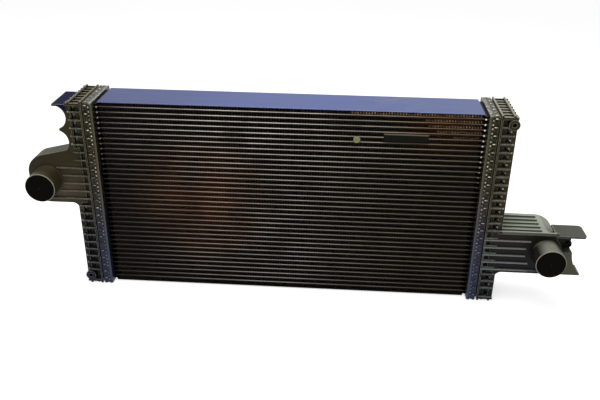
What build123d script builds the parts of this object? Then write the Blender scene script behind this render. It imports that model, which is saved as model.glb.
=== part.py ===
from build123d import *
import math
import os

# Cross-flow radiator: flat tubes and fin strips between two header plates,
# closed at each side by a moulded, ribbed tank with its own hose port.
# Millimetres. X runs along the tubes, Y from the front to the back, Z up.
# "Outward" (u) is the distance from the middle of the core towards a tank.

# Core
tube_count = 36
tube_height = 3.5
tube_wall = 0.5
tube_edge_bevel = 1.1
core_depth = 90.0
fin_height = 7.5
fin_recess = 1.0
fin_half_length = 372.5
side_plate_thickness = 1.5
side_plate_joggle = 4.5
joggle_run = 1.5

# Header plates
header_past_fins = 7.5
header_thickness = 2.0
header_wall = 2.0
header_overhang = 12.9
header_end_overhang = 1.5
header_bevel = 2.5
inner_bevel = 1.0
tube_stand_in = 3.0
slot_clearance = 0.15
crimp_lip = 2.5
foot_clearance = 0.5

# Gasket between each header plate and its tank
gasket_thickness = 4.0
gasket_width = 6.0

# Tank shells
foot_thickness = 10.0
neck_length = 5.5
neck_clearance = 0.4
tank_opening_margin = 2.0
tank_opening_bevel = 1.0
band_width = 3.5
dome_height = 25.5
dome_wall = 3.5
dome_setback = 6.5
dome_corner_radius = 12.0
dome_facets = 1
rib_thickness = 2.5
rib_pitch = 17.0
rib_reach = 4.0
rib_corner = 4.0
rib_overhang = 12.0
rail_width = 9.5
rail_thickness = 9.0
rail_past_ribs = 3.0
end_rib_count = 8
end_rib_height = 2.8
tank_end_inset = 0.5
ridge_width = 4.5
ridge_height = 3.5
ridge_bevel = 1.5

# Crimp tabs folded over each tank foot
tab_width = 8.0
tab_height = 0.9
tab_start = 9.0

# Hose ports
port_radius = 30.0
port_wall = 4.0
port_reach = 46.0
duct_wall = 4.0
duct_face = -9.0
duct_face_start = 13.5
duct_rib_height = 4.0

# Left duct: its top slopes up to the tank and its back edge is round
left_port_from_tank = 58.0
left_port_z = 242.0
left_duct_past_port = 39.5
left_duct_below_port = 52.5
left_duct_above_port = 44.0
left_duct_rise = 23.0
left_duct_depth = 62.0
left_duct_corner = 39.5
left_duct_back_bevel = 22.0
left_rib_start = 30.5
left_port_rib_gap = 4.0

# Right duct: square in section, ribbed on top, with a round end
right_port_from_tank = 97.0
right_port_z = 117.5
right_duct_past_port = 32.0
right_duct_below_port = 50.0
right_duct_above_port = 43.5
right_duct_depth = 88.0
right_duct_corner = 44.0
right_rib_start = 27.5
right_duct_rib_start = 24.0
right_port_rib_gap = 12.0
top_rib_start = 9.0
top_rib_pitch = 15.6
top_rib_count = 5
corner_web_height = 14.0
duct_root_radius = 14.0
duct_root_step = 1.0

# Left bracket, above the duct
left_plate_length = 30.0
left_plate_below_top = 4.5
bracket_thickness = 4.0
left_plate_depth = 81.0
left_web_length = 21.0
scallop_radius = 25.0
scallop_pitch = 51.0
scallop_below_plate = 27.0

# Right bracket, beyond the port
right_plate_length = 43.0
right_plate_overlap = 17.0
right_plate_above_port = 42.5
right_plate_overhang = 6.0
right_plate_depth = 51.0
right_plate_corner = 8.0
right_web_above_port = 2.5
right_web_length_top = 21.0
right_web_length_bottom = 43.5
right_web_curve = 70.0
right_web_setback = 21.0
right_flange_depth = 36.0
lug_radius = 7.0

# Screw in the right bracket's lug
screw_radius = 3.0
screw_head_radius = 5.0
screw_head_height = 6.0
screw_length = 18.0
screw_hex = 5.0
screw_hex_depth = 3.0
screw_clearance = 0.2
screw_past_duct = 17.0
screw_above_port = 12.5

# Mounting bosses, one on each tank
boss_radius = 10.5
boss_inside_edge = 4.0
boss_from_end = 16.0
boss_stand_out = 1.0
boss_length = 22.0
boss_bore_radius = 4.5
boss_bore_depth = 14.0

# Transport caps in the ports
cap_flange_radius = 28.2
cap_flange_thickness = 2.5
cap_skirt_clearance = 0.3
cap_skirt_depth = 14.0
cap_wall = 2.0
cap_skirt_sides = 12

# Worked-out values
tube_pitch = tube_height + fin_height
core_height = tube_count * tube_pitch + fin_height + 2 * side_plate_thickness
header_inner_u = fin_half_length + header_past_fins
header_outer_u = header_inner_u + header_thickness
foot_u = header_outer_u + gasket_thickness
foot_top_u = foot_u + foot_thickness
lip_outer_u = foot_top_u + header_wall
band_u = foot_top_u + neck_length
dome_top_u = band_u + dome_height
rib_top_u = dome_top_u + rib_reach
rail_top_u = rib_top_u + rail_past_ribs
duct_start_u = band_u + duct_face_start
back = core_depth
boss_u = rib_top_u - boss_inside_edge
boss_front = -rib_overhang - boss_stand_out
port_mouth = duct_face - port_reach

left_port_u = rib_top_u + left_port_from_tank
left_duct_end = left_port_u + left_duct_past_port
left_duct_bottom = left_port_z - left_duct_below_port
left_duct_top_at_end = left_port_z + left_duct_above_port
left_duct_top_at_tank = left_duct_top_at_end + left_duct_rise
left_plate_reach = rib_top_u + left_plate_length
left_plate_top = core_height - left_plate_below_top
left_web_reach = rib_top_u + left_web_length

right_port_u = rib_top_u + right_port_from_tank
right_duct_end = right_port_u + right_duct_past_port
right_duct_bottom = right_port_z - right_duct_below_port
right_duct_top = right_port_z + right_duct_above_port
right_plate_reach = right_duct_end + right_plate_length
right_plate_start = right_duct_end - right_plate_overlap
right_plate_top = right_port_z + right_plate_above_port
right_plate_front = duct_face - right_plate_overhang
right_web_reach_top = right_duct_end + right_web_length_top
right_web_reach_bottom = right_duct_end + right_web_length_bottom
right_web_top = right_port_z + right_web_above_port
screw_u = right_duct_end + screw_past_duct
screw_z = right_port_z + screw_above_port


def box(u0, u1, y0, y1, z0, z1):
    """A block between two corners."""
    block = Box(u1 - u0, y1 - y0, z1 - z0, align=(Align.MIN, Align.MIN, Align.MIN))
    return Pos(u0, y0, z0) * block


def bevelled_rectangle(width, height, bevel):
    """A rectangle with its four corners cut off."""
    outline = Rectangle(width, height)
    return chamfer(outline.vertices(), bevel)


def bevelled_block(u0, u1, margin, end_margin, bevel):
    """A block around the core's end face, grown by the margins, with its corners cut off."""
    depth = core_depth + 2 * margin
    height = core_height + 2 * end_margin
    face = bevelled_rectangle(depth, height, bevel)
    plane = Plane(origin=(u0, core_depth / 2, core_height / 2), x_dir=(0, 1, 0), z_dir=(1, 0, 0))
    return extrude(plane * face, u1 - u0)


def front_prism(points, y0, y1, rounded=None):
    """Extrude an outline given in (u, z) from y0 back to y1, rounding chosen corners."""
    face = make_face(Polyline([(u, z) for u, z in points], close=True))
    for (u, z), radius in (rounded or {}).items():
        corner = face.vertices().sort_by_distance((u, z, 0))[0]
        face = fillet(corner, radius)
    plane = Plane(origin=(0, y0, 0), x_dir=(1, 0, 0), z_dir=(0, -1, 0))
    return extrude(plane * face, -(y1 - y0))


def cylinder_y(u, z, radius, y0, y1):
    """A cylinder along Y from y0 back to y1."""
    plane = Plane(origin=(u, y1, z), x_dir=(1, 0, 0), z_dir=(0, -1, 0))
    return extrude(plane * Circle(radius), y1 - y0)


def tube_z(index):
    """Height of one tube's middle."""
    return side_plate_thickness + fin_height + tube_height / 2 + index * tube_pitch


def make_tube(index):
    """One flat tube with bevelled edges."""
    half_length = header_outer_u + tube_stand_in
    outer = bevelled_rectangle(core_depth, tube_height, tube_edge_bevel)
    section = outer - Rectangle(core_depth - 2 * (tube_edge_bevel + tube_wall), tube_height - 2 * tube_wall)
    plane = Plane(origin=(-half_length, core_depth / 2, tube_z(index)), x_dir=(0, 1, 0), z_dir=(1, 0, 0))
    return extrude(plane * section, 2 * half_length)


def make_fins():
    """The fin strips, one under each tube and one above the last."""
    strips = []
    for index in range(tube_count + 1):
        z0 = side_plate_thickness + index * tube_pitch
        strips.append(box(-fin_half_length, fin_half_length, fin_recess, core_depth - fin_recess,
                          z0, z0 + fin_height))
    return Compound(strips)


def make_side_plate():
    """The upper side plate: flat over the fins, stepping down to each header plate."""
    top = core_height
    step_u = fin_half_length + slot_clearance
    low_u = step_u + joggle_run
    thickness = side_plate_thickness
    drop = side_plate_joggle
    right_side = [(step_u, top), (low_u, top - drop), (header_inner_u, top - drop),
                  (header_inner_u, top - drop - thickness), (low_u, top - drop - thickness),
                  (step_u, top - thickness)]
    left_side = [(-u, z) for u, z in reversed(right_side)]
    return front_prism(right_side + left_side, 0, core_depth)


def upside_down(shape):
    """Turn a piece over about the middle of the core's height."""
    middle = Plane(origin=(0, 0, core_height / 2), z_dir=(0, 0, 1))
    return mirror(shape, about=middle)


def make_header():
    """A header plate: a tray with a slot for each tube and tabs crimped over the tank's foot."""
    tray = bevelled_block(header_inner_u, lip_outer_u, header_overhang, header_end_overhang,
                         header_bevel)
    inner = header_overhang - header_wall
    inner_end = header_end_overhang - header_wall
    tray -= bevelled_block(header_outer_u, foot_top_u, inner, inner_end, inner_bevel)
    tray -= bevelled_block(foot_top_u, lip_outer_u, inner - crimp_lip, inner_end - crimp_lip,
                          inner_bevel)
    slot_y0 = -slot_clearance
    slot_y1 = core_depth + slot_clearance
    half_slot = tube_height / 2 + slot_clearance
    slots = []
    for index in range(tube_count):
        z = tube_z(index)
        slots.append(box(header_inner_u, header_outer_u, slot_y0, slot_y1, z - half_slot, z + half_slot))
    tray -= slots
    tab_u = header_inner_u + tab_start
    rear = core_depth + header_overhang
    tabs = []
    for z in tab_heights():
        z0 = z - tab_width / 2
        z1 = z + tab_width / 2
        tabs.append(box(tab_u, lip_outer_u, -header_overhang - tab_height, -header_overhang, z0, z1))
        tabs.append(box(tab_u, lip_outer_u, rear, rear + tab_height, z0, z1))
    return tray + tabs


def tab_heights():
    """Heights of the crimp tabs, spread evenly about the middle."""
    count = int((core_height - tab_width) // rib_pitch) + 1
    first = (core_height - (count - 1) * rib_pitch) / 2
    return [first + i * rib_pitch for i in range(count)]


def make_gasket():
    """The rubber seal that lies in the header plate under the tank's foot."""
    outer = header_overhang - header_wall - foot_clearance
    outer_end = header_end_overhang - header_wall - foot_clearance
    ring = bevelled_block(header_outer_u, foot_u, outer, outer_end, inner_bevel)
    return ring - bevelled_block(header_outer_u, foot_u, outer - gasket_width, outer_end - gasket_width,
                                inner_bevel)


def rib_heights(start):
    """Heights of a tank's gusset ribs from the lowest to the highest."""
    last = core_height - tank_end_inset - end_rib_height - rib_thickness
    return [start + i * rib_pitch for i in range(int((last - start) // rib_pitch) + 1)]


def gusset(z):
    """One gusset rib, a plate right round the dome with its outer corners cut off."""
    points = [(band_u, -rib_overhang), (rib_top_u - rib_corner, -rib_overhang),
              (rib_top_u, -rib_overhang + rib_corner), (rib_top_u, back + rib_overhang - rib_corner),
              (rib_top_u - rib_corner, back + rib_overhang), (band_u, back + rib_overhang)]
    face = make_face(Polyline(points, close=True))
    return extrude(Pos(0, 0, z - rib_thickness / 2) * face, rib_thickness)


def tank_shell(rib_start):
    """The tank without duct or bracket: foot, neck, band, dome, ribs and end ridges."""
    inner = header_overhang - header_wall - foot_clearance
    inner_end = header_end_overhang - header_wall - foot_clearance
    neck = header_overhang - header_wall - crimp_lip - neck_clearance
    neck_end = header_end_overhang - header_wall - crimp_lip - neck_clearance
    shell = bevelled_block(foot_u, foot_top_u, inner, inner_end, inner_bevel)
    shell += bevelled_block(foot_top_u, band_u, neck, neck_end, inner_bevel)
    band_end = -tank_end_inset
    shell += bevelled_block(band_u, band_u + band_width, rib_overhang, band_end, inner_bevel)
    shell += dome_block(0)
    shell += [gusset(z) for z in rib_heights(rib_start)]
    shell += side_rail()
    shell += end_details()
    shell += upside_down(end_details())
    return shell


def side_rail():
    """The upright rail that ties the gussets' front corners to the dome."""
    front = -rib_overhang + rib_corner
    return box(rail_top_u - rail_width, rail_top_u, front, front + rail_thickness,
               tank_end_inset, core_height - tank_end_inset)


def dome_block(inset):
    """The dome, or with an inset the space inside it, with its two long outer corners faceted."""
    front = -rib_overhang + dome_setback
    middle_u = dome_top_u - dome_corner_radius
    middle_y = front + dome_corner_radius
    radius = dome_corner_radius - inset
    corner = []
    for i in range(dome_facets + 1):
        turn = math.radians(90 * i / dome_facets)
        corner.append((middle_u + radius * math.sin(turn), middle_y - radius * math.cos(turn)))
    far_corner = [(u, core_depth - y) for u, y in reversed(corner)]
    points = [(band_u, front + inset)] + corner + far_corner + [(band_u, core_depth - front - inset)]
    z0 = tank_end_inset + end_rib_height + inset
    face = make_face(Polyline(points, close=True))
    return extrude(Pos(0, 0, z0) * face, core_height - 2 * z0)


def end_details():
    """Ribs and the two ridges on the top end of a tank."""
    top = core_height - tank_end_inset
    first = -rib_overhang + rib_thickness / 2
    step = (core_depth + 2 * rib_overhang - rib_thickness) / (end_rib_count - 1)
    base = top - end_rib_height
    details = []
    for i in range(end_rib_count):
        y = first + i * step
        details.append(box(band_u, rail_top_u, y - rib_thickness / 2, y + rib_thickness / 2, base, top))
    for u in (band_u + ridge_width / 2, rib_top_u - ridge_width):
        half = ridge_width / 2
        crest = top + ridge_height
        points = [(u - half, base), (u - half, crest - ridge_bevel), (u - half + ridge_bevel, crest),
                  (u + half - ridge_bevel, crest), (u + half, crest - ridge_bevel), (u + half, base)]
        details.append(front_prism(points, -rib_overhang, back + rib_overhang))
    end_plate_base = base - rib_thickness
    details.append(box(band_u, rail_top_u, -rib_overhang, back + rib_overhang, end_plate_base, base))
    return details


def tank_cavity():
    """The space inside the shell, open towards the tubes."""
    margin = tank_opening_margin
    end_margin = -(side_plate_thickness + fin_height - margin)
    space = bevelled_block(foot_u, band_u, margin, end_margin, tank_opening_bevel)
    return space + dome_block(dome_wall)


def make_boss(z):
    """A round boss with a blind bore facing the front, as a solid and its bore."""
    solid = cylinder_y(boss_u, z, boss_radius, boss_front, boss_front + boss_length)
    bore = cylinder_y(boss_u, z, boss_bore_radius, boss_front, boss_front + boss_bore_depth)
    return solid, bore


def duct_ribs(heights, port_u, port_z, gap, depth, z0, z1):
    """Ribs along the front and back of a duct, stopping short of the port by a gap."""
    ribs = []
    clear = port_radius + gap
    for z in heights:
        if z0 + rib_thickness < z < z1:
            off = abs(z - port_z)
            end = port_u - (math.sqrt(clear ** 2 - off ** 2) if off < clear else 0)
            ribs.append(box(band_u, end, duct_face - duct_rib_height, duct_face,
                            z - rib_thickness / 2, z + rib_thickness / 2))
            ribs.append(box(dome_top_u, port_u, duct_face + depth, duct_face + depth + duct_rib_height,
                            z - rib_thickness / 2, z + rib_thickness / 2))
    return ribs


def port_stub(u, z):
    """The round stub that a hose slides onto, and its bore."""
    stub = cylinder_y(u, z, port_radius, port_mouth, duct_face + duct_wall)
    bore = cylinder_y(u, z, port_radius - port_wall, port_mouth, duct_face + duct_wall)
    return stub, bore


def left_duct():
    """The left duct and the space inside it, drawn on the outward side."""
    wall = duct_wall
    root = rib_top_u + duct_root_step
    depth_end = duct_face + left_duct_depth
    slope = (left_duct_top_at_tank - left_duct_top_at_end) / (left_duct_end - root)
    inner_u = dome_top_u - dome_wall

    def outline(inset, inward):
        top_in = left_duct_top_at_tank + slope * (root - inward) - inset
        return [(inward, top_in), (left_duct_end - inset, left_duct_top_at_end - inset),
                (left_duct_end - inset, left_duct_bottom + inset), (inward, left_duct_bottom + inset)]

    def corners(inset):
        radius = left_duct_corner - inset
        end = left_duct_end - inset
        return {(end, left_duct_top_at_end - inset): radius, (end, left_duct_bottom + inset): radius}

    body = front_prism(outline(0, duct_start_u), duct_face, depth_end, corners(0))
    back_edges = body.faces().sort_by(Axis.Y)[-1].edges()
    body = chamfer(back_edges.sort_by(Axis.X)[1:], left_duct_back_bevel)
    space = front_prism(outline(wall, inner_u - wall), duct_face + wall, depth_end - wall, corners(wall))
    back_edges = space.faces().sort_by(Axis.Y)[-1].edges()
    space = chamfer(back_edges.sort_by(Axis.X)[1:], left_duct_back_bevel)
    return body, space, root_gusset(left_duct_bottom, root, depth_end)


def root_gusset(bottom, root, depth_end):
    """The rounded web under a duct where it meets the tank."""
    radius = duct_root_radius
    block = box(dome_top_u, root + radius, duct_face, depth_end, bottom - radius, bottom)
    return block - cylinder_y(root + radius, bottom - radius, radius, duct_face, depth_end)


def right_duct():
    """The right duct and the space inside it."""
    wall = duct_wall
    root = rib_top_u + duct_root_step
    depth_end = duct_face + right_duct_depth
    inner_u = dome_top_u - dome_wall

    def outline(inset, inward):
        return [(inward, right_duct_top - inset), (right_duct_end - inset, right_duct_top - inset),
                (right_duct_end - inset, right_duct_bottom + inset), (inward, right_duct_bottom + inset)]

    def corners(inset):
        radius = right_duct_corner - inset
        end = right_duct_end - inset
        return {(end, right_duct_top - inset): radius, (end, right_duct_bottom + inset): radius}

    body = front_prism(outline(0, duct_start_u), duct_face, depth_end, corners(0))
    space = front_prism(outline(wall, inner_u - wall), duct_face + wall, depth_end - wall, corners(wall))
    rib_end = right_duct_end - right_duct_corner
    rib_top = right_duct_top + duct_rib_height
    corner_end = right_plate_start + bracket_thickness
    ribs = [box(dome_top_u, corner_end, duct_face - duct_rib_height, duct_face,
                right_duct_top - rib_thickness, rib_top),
            box(rib_end, corner_end, duct_face, duct_face + bracket_thickness,
                right_duct_top - corner_web_height, right_duct_top)]
    for i in range(top_rib_count):
        y = duct_face + top_rib_start + i * top_rib_pitch
        ribs.append(box(dome_top_u, rib_end, y - rib_thickness / 2, y + rib_thickness / 2, right_duct_top,
                        rib_top))
    return [body] + ribs, space, root_gusset(right_duct_bottom, root, depth_end)


def left_bracket():
    """A level plate and a scalloped web above the left duct."""
    plate = box(dome_top_u, left_plate_reach, duct_face, duct_face + left_plate_depth,
                left_plate_top - bracket_thickness, left_plate_top)
    web = box(dome_top_u, left_web_reach, duct_face, duct_face + bracket_thickness,
              left_duct_top_at_tank - bracket_thickness, left_plate_top)
    for i in range(2):
        z = left_plate_top - scallop_below_plate - i * scallop_pitch
        web -= cylinder_y(left_plate_reach, z, scallop_radius, duct_face, duct_face + bracket_thickness)
    return plate + web


def right_bracket():
    """A level plate over a curved web, a shelf and a lug for the screw."""
    inner_u = right_duct_end - right_duct_corner
    thickness = bracket_thickness
    plate = box(right_plate_start, right_plate_reach, right_plate_front,
                right_plate_front + right_plate_depth, right_plate_top - thickness, right_plate_top)
    outer_edges = plate.edges().filter_by(Axis.Z).group_by(Axis.X)[-1]
    plate = fillet(outer_edges, right_plate_corner)
    bottom = right_duct_bottom
    curve_foot = bottom + thickness
    curve = ThreePointArc((right_web_reach_bottom, curve_foot), *web_curve_points(curve_foot))
    lines = Polyline([(right_web_reach_top, right_web_top), (inner_u, right_web_top), (inner_u, bottom),
                      (right_web_reach_bottom, bottom), (right_web_reach_bottom, curve_foot)])
    face = make_face(curve + lines)
    plane = Plane(origin=(0, duct_face, 0), x_dir=(1, 0, 0), z_dir=(0, -1, 0))
    web = extrude(plane * face, -thickness)
    shelf = box(inner_u, right_web_reach_top, duct_face, duct_face + right_web_setback + thickness,
                right_web_top - thickness, right_web_top)
    flange = box(inner_u, right_web_reach_bottom, duct_face, duct_face + right_flange_depth,
                 bottom, curve_foot)
    upper_front = duct_face + right_web_setback
    upper = box(inner_u, right_web_reach_top, upper_front, upper_front + thickness,
                right_web_top - thickness, right_plate_top - thickness)
    lug = cylinder_y(screw_u, screw_z, lug_radius, upper_front, upper_front + screw_length - thickness)
    return plate + web + shelf + flange + upper + lug


def web_curve_points(bottom):
    """The middle and end of the right web's hollow outer edge."""
    u0, z0 = right_web_reach_bottom, bottom
    u1, z1 = right_web_reach_top, right_web_top
    chord = math.hypot(u1 - u0, z1 - z0)
    sag = right_web_curve - math.sqrt(right_web_curve ** 2 - (chord / 2) ** 2)
    middle_u = (u0 + u1) / 2 - sag * (z1 - z0) / chord
    middle_z = (z0 + z1) / 2 - sag * (u0 - u1) / chord
    return (middle_u, middle_z), (u1, z1)


def make_left_tank():
    """The left tank in one piece: shell, duct, port stub, bracket and boss."""
    tank = tank_shell(left_rib_start)
    body, space, root = left_duct()
    stub, bore = port_stub(left_port_u, left_port_z)
    boss, boss_bore = make_boss(boss_from_end)
    ribs = duct_ribs(rib_heights(left_rib_start), left_port_u, left_port_z, left_port_rib_gap,
                     left_duct_depth, left_duct_bottom, left_duct_top_at_end - rib_pitch)
    tank += [body, root, stub, boss, left_bracket()] + ribs
    tank = tank - tank_cavity() - space - bore - boss_bore
    return mirror(tank, about=Plane.YZ)


def make_right_tank():
    """The right tank in one piece: shell, duct, port stub, bracket and boss."""
    tank = tank_shell(right_rib_start)
    body, space, root = right_duct()
    stub, bore = port_stub(right_port_u, right_port_z)
    boss, boss_bore = make_boss(core_height - boss_from_end)
    ribs = duct_ribs(rib_heights(right_duct_rib_start), right_port_u, right_port_z, right_port_rib_gap,
                     right_duct_depth, right_duct_bottom, right_duct_top - rib_thickness)
    tank += body + [root, stub, boss, right_bracket()] + ribs
    upper_front = duct_face + right_web_setback
    screw_hole = cylinder_y(screw_u, screw_z, screw_radius + screw_clearance, upper_front,
                            upper_front + screw_length - bracket_thickness)
    return tank - tank_cavity() - space - bore - boss_bore - screw_hole


def make_screw():
    """The socket-head screw in the right bracket's lug."""
    seat = duct_face + right_web_setback
    head = cylinder_y(screw_u, screw_z, screw_head_radius, seat - screw_head_height, seat)
    shank = cylinder_y(screw_u, screw_z, screw_radius, seat, seat + screw_length)
    plane = Plane(origin=(screw_u, seat - screw_head_height, screw_z), x_dir=(1, 0, 0), z_dir=(0, 1, 0))
    socket = extrude(plane * RegularPolygon(screw_hex / 2, 6, major_radius=False), screw_hex_depth)
    return head + shank - socket


def make_cap(u, z):
    """A push-in transport cap: a round flange and a hollow skirt whose corners grip the bore."""
    flange = cylinder_y(u, z, cap_flange_radius, port_mouth - cap_flange_thickness, port_mouth)
    radius = port_radius - port_wall - cap_skirt_clearance
    section = RegularPolygon(radius, cap_skirt_sides) - RegularPolygon(radius - cap_wall, cap_skirt_sides)
    plane = Plane(origin=(u, port_mouth + cap_skirt_depth, z), x_dir=(1, 0, 0), z_dir=(0, -1, 0))
    return flange + extrude(plane * section, cap_skirt_depth)


def make_all():
    """Every piece of the radiator by name, about the middle of the core."""
    pieces = {}
    for index in range(tube_count):
        pieces[f"tube_{index + 1:02d}"] = make_tube(index)
    pieces["cooling_fins"] = make_fins()
    pieces["upper_side_plate"] = make_side_plate()
    pieces["lower_side_plate"] = upside_down(make_side_plate())
    pieces["right_header_plate"] = make_header()
    pieces["left_header_plate"] = mirror(make_header(), about=Plane.YZ)
    pieces["right_gasket"] = make_gasket()
    pieces["left_gasket"] = mirror(make_gasket(), about=Plane.YZ)
    pieces["left_tank"] = make_left_tank()
    pieces["right_tank"] = make_right_tank()
    pieces["left_port_cap"] = make_cap(-left_port_u, left_port_z)
    pieces["right_port_cap"] = make_cap(right_port_u, right_port_z)
    pieces["bracket_screw"] = make_screw()
    return pieces


def main():
    """Move the origin to the middle of the footprint and write one file per piece."""
    os.makedirs("parts", exist_ok=True)
    pieces = make_all()
    boxes = [shape.bounding_box() for shape in pieces.values()]
    low = [min(tuple(b.min)[axis] for b in boxes) for axis in range(3)]
    high = [max(tuple(b.max)[axis] for b in boxes) for axis in range(3)]
    shift = Pos(-(low[0] + high[0]) / 2, -(low[1] + high[1]) / 2, -low[2])
    for name, shape in pieces.items():
        export_step(shift * shape, f"parts/{name}.step")
    print("lowest corner", low, "highest corner", high)


main()
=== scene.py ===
# %% [markdown]
# # Dressing a cross-flow radiator
#
# The radiator is a stack of flat aluminium tubes with corrugated foil between them. At each side
# a pressed header plate holds the tubes and is crimped over a moulded nylon tank. The solid model
# already has every piece at its true size, so this lesson adds only what a solid model leaves
# out: the foil strips, the small trim and the finish of every surface. It starts by loading the
# solids.

# %% Load the solids
import math

import bpy
from mathutils import Matrix, Vector


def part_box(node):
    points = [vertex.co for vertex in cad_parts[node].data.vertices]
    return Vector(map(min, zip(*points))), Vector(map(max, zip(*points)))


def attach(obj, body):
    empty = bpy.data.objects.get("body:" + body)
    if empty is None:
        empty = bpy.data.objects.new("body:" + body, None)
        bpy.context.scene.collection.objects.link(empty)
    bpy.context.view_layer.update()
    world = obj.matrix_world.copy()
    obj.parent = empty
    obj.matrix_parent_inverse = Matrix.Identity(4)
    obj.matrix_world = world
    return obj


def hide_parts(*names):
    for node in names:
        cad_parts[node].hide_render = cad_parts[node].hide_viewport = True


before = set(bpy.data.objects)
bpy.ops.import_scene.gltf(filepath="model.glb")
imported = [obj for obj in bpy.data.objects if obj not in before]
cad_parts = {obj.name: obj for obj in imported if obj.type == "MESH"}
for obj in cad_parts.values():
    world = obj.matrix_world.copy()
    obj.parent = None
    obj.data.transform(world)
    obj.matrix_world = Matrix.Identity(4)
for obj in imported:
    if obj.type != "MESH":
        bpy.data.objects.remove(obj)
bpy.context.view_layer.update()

# %% [markdown]
# ## One ruler for everything
#
# Every place below is given in millimetres from the lower front middle of the core, because that
# is how a radiator is measured on a bench: along the tubes, back from the front face and up from
# the lower side plate. The ruler's zero is read from the solids, so it follows them.

# %% The ruler
MM = 0.001
X, Y, Z = range(3)
SIDES = (("left", -1), ("right", 1))
first_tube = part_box("tube_01")
lower_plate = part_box("lower_side_plate")
core_zero = Vector(((first_tube[0].x + first_tube[1].x) / 2, first_tube[0].y, lower_plate[0].z))


def at(x, y, z):
    """A point given in millimetres along, back and up from the core's lower front middle."""
    return core_zero + Vector((x, y, z)) * MM


def measure(node):
    """A node's lowest and highest corner in millimetres on the same ruler."""
    low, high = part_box(node)
    return (low - core_zero) / MM, (high - core_zero) / MM


tube_names = sorted(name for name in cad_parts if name.startswith("tube_"))
tube_spans = [(measure(name)[0].z, measure(name)[1].z) for name in tube_names]
fin_low, fin_high = measure("cooling_fins")
core_top = measure("upper_side_plate")[1].z
header_low, header_high = measure("right_header_plate")
print("tubes:", len(tube_names), "core height:", round(core_top, 1), "mm")

# %% [markdown]
# ## Helpers for finishes
#
# Materials are node trees, so one function adds a node with its settings and its links, and one
# closes a tree with the shader that every finish here ends in. Colours are written as the hex
# values seen on a screen, and shaders work in linear light, so one function turns the first into
# the second.


# %% Colours and nodes
def linear(hex_colour):
    """A screen colour such as #8A7F7C as linear red, green, blue and an alpha of one."""
    channels = [int(hex_colour[i:i + 2], 16) / 255 for i in (1, 3, 5)]
    return [c / 12.92 if c <= 0.04045 else ((c + 0.055) / 1.055) ** 2.4 for c in channels] + [1.0]


def add(tree, kind, settings=None, inputs=None):
    """Add one shader node: settings are its attributes, inputs are values or sockets to link."""
    node = tree.nodes.new("ShaderNode" + kind)
    for name, value in (settings or {}).items():
        setattr(node, name, value)
    for key, value in (inputs or {}).items():
        if isinstance(value, bpy.types.NodeSocket):
            tree.links.new(value, node.inputs[key])
        else:
            node.inputs[key].default_value = value
    return node


def new_material(name):
    """An empty material and its node tree."""
    material = bpy.data.materials.new(name)
    material.use_nodes = True
    material.node_tree.nodes.clear()
    return material, material.node_tree


def close_material(material, inputs):
    """End a material with one principled shader that has the given inputs."""
    shader = add(material.node_tree, "BsdfPrincipled", inputs=inputs)
    add(material.node_tree, "OutputMaterial", inputs={"Surface": shader.outputs[0]})
    return material


print("#808080 on a screen is", round(linear("#808080")[0], 3), "in linear light")

# %% [markdown]
# ## Helpers for pieces
#
# A piece of trim could be modelled with operators, but a mesh built from lists of points and
# faces keeps every vertex where the maths puts it. Each piece is told which body it rides with.
# The solids are dressed in place: they keep their meshes and only get a material.


# %% Pieces
def make_piece(name, points, faces, material, smooth=False):
    """A mesh piece from points on the core's ruler, riding with the radiator."""
    mesh = bpy.data.meshes.new(name)
    mesh.from_pydata([at(*p) for p in points], [], faces)
    mesh.validate()
    if smooth:
        mesh.shade_smooth()
    mesh.update()
    piece = bpy.data.objects.new(name, mesh)
    bpy.context.scene.collection.objects.link(piece)
    mesh.materials.append(material)
    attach(piece, "root")
    return piece


def finish(names, material):
    """Give CAD nodes a material."""
    for name in names:
        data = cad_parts[name].data
        data.materials.clear()
        data.materials.append(material)


print("solids that can be dressed:", len(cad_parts))

# %% [markdown]
# ## Mixing values and colours
#
# A finish is built in simple steps: a range picks the part of a pattern that matters, a product
# puts several conditions together, and a mix lays one colour over another. The steps come back in
# every finish, so each is one short function, and a finish then reads like a list of its layers.

# %% Mixing
# A Mix node has its own pair of input sockets for values and for colours.
MIX_VALUES = (2, 3)
MIX_COLOURS = (6, 7)


def maths(tree, operation, first, second=0.0):
    """One step of arithmetic on values or sockets."""
    return add(tree, "Math", {"operation": operation}, {0: first, 1: second}).outputs[0]


def times(tree, *factors):
    """The product of several values."""
    product = factors[0]
    for factor in factors[1:]:
        product = maths(tree, "MULTIPLY", product, factor)
    return product


def spread(tree, value, low, high, to_low=0.0, to_high=1.0):
    """Stretch the part of a value between low and high to a new range, and hold it at both ends."""
    inputs = {"Value": value, "From Min": low, "From Max": high,
              "To Min": to_low, "To Max": to_high}
    return add(tree, "MapRange", inputs=inputs).outputs[0]


def blend_value(tree, share, first, second):
    """A value that goes from the first to the second as the share goes from 0 to 1."""
    inputs = {0: share, MIX_VALUES[0]: first, MIX_VALUES[1]: second}
    return add(tree, "Mix", {"data_type": "FLOAT"}, inputs).outputs[0]


def blend(tree, share, first, second, mode="MIX"):
    """Mix two colours, given as hex text or sockets."""
    colours = [linear(c) if isinstance(c, str) else c for c in (first, second)]
    settings = {"data_type": "RGBA", "blend_type": mode}
    inputs = {0: share, MIX_COLOURS[0]: colours[0], MIX_COLOURS[1]: colours[1]}
    return add(tree, "Mix", settings, inputs).outputs[2]


def layered(tree, colour, layers):
    """Lay colours over a first one in turn, each given as its share and itself."""
    for share, over in layers:
        colour = blend(tree, share, colour, over)
    return colour


print("a Mix node takes its colours at sockets", MIX_COLOURS)

# %% [markdown]
# ## Grain
#
# Real surfaces are never even: metal has rolling marks, moulded plastic has fibres, and dirt lies
# in patches. Noise gives all of them. It reads coordinates in metres, so its scale is worked out
# from the real size of a blob, and stretching it turns blobs into streaks. A bump makes the light
# answer to the same pattern.

# %% Noise
NOISE_ROUGHNESS = 0.55


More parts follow.
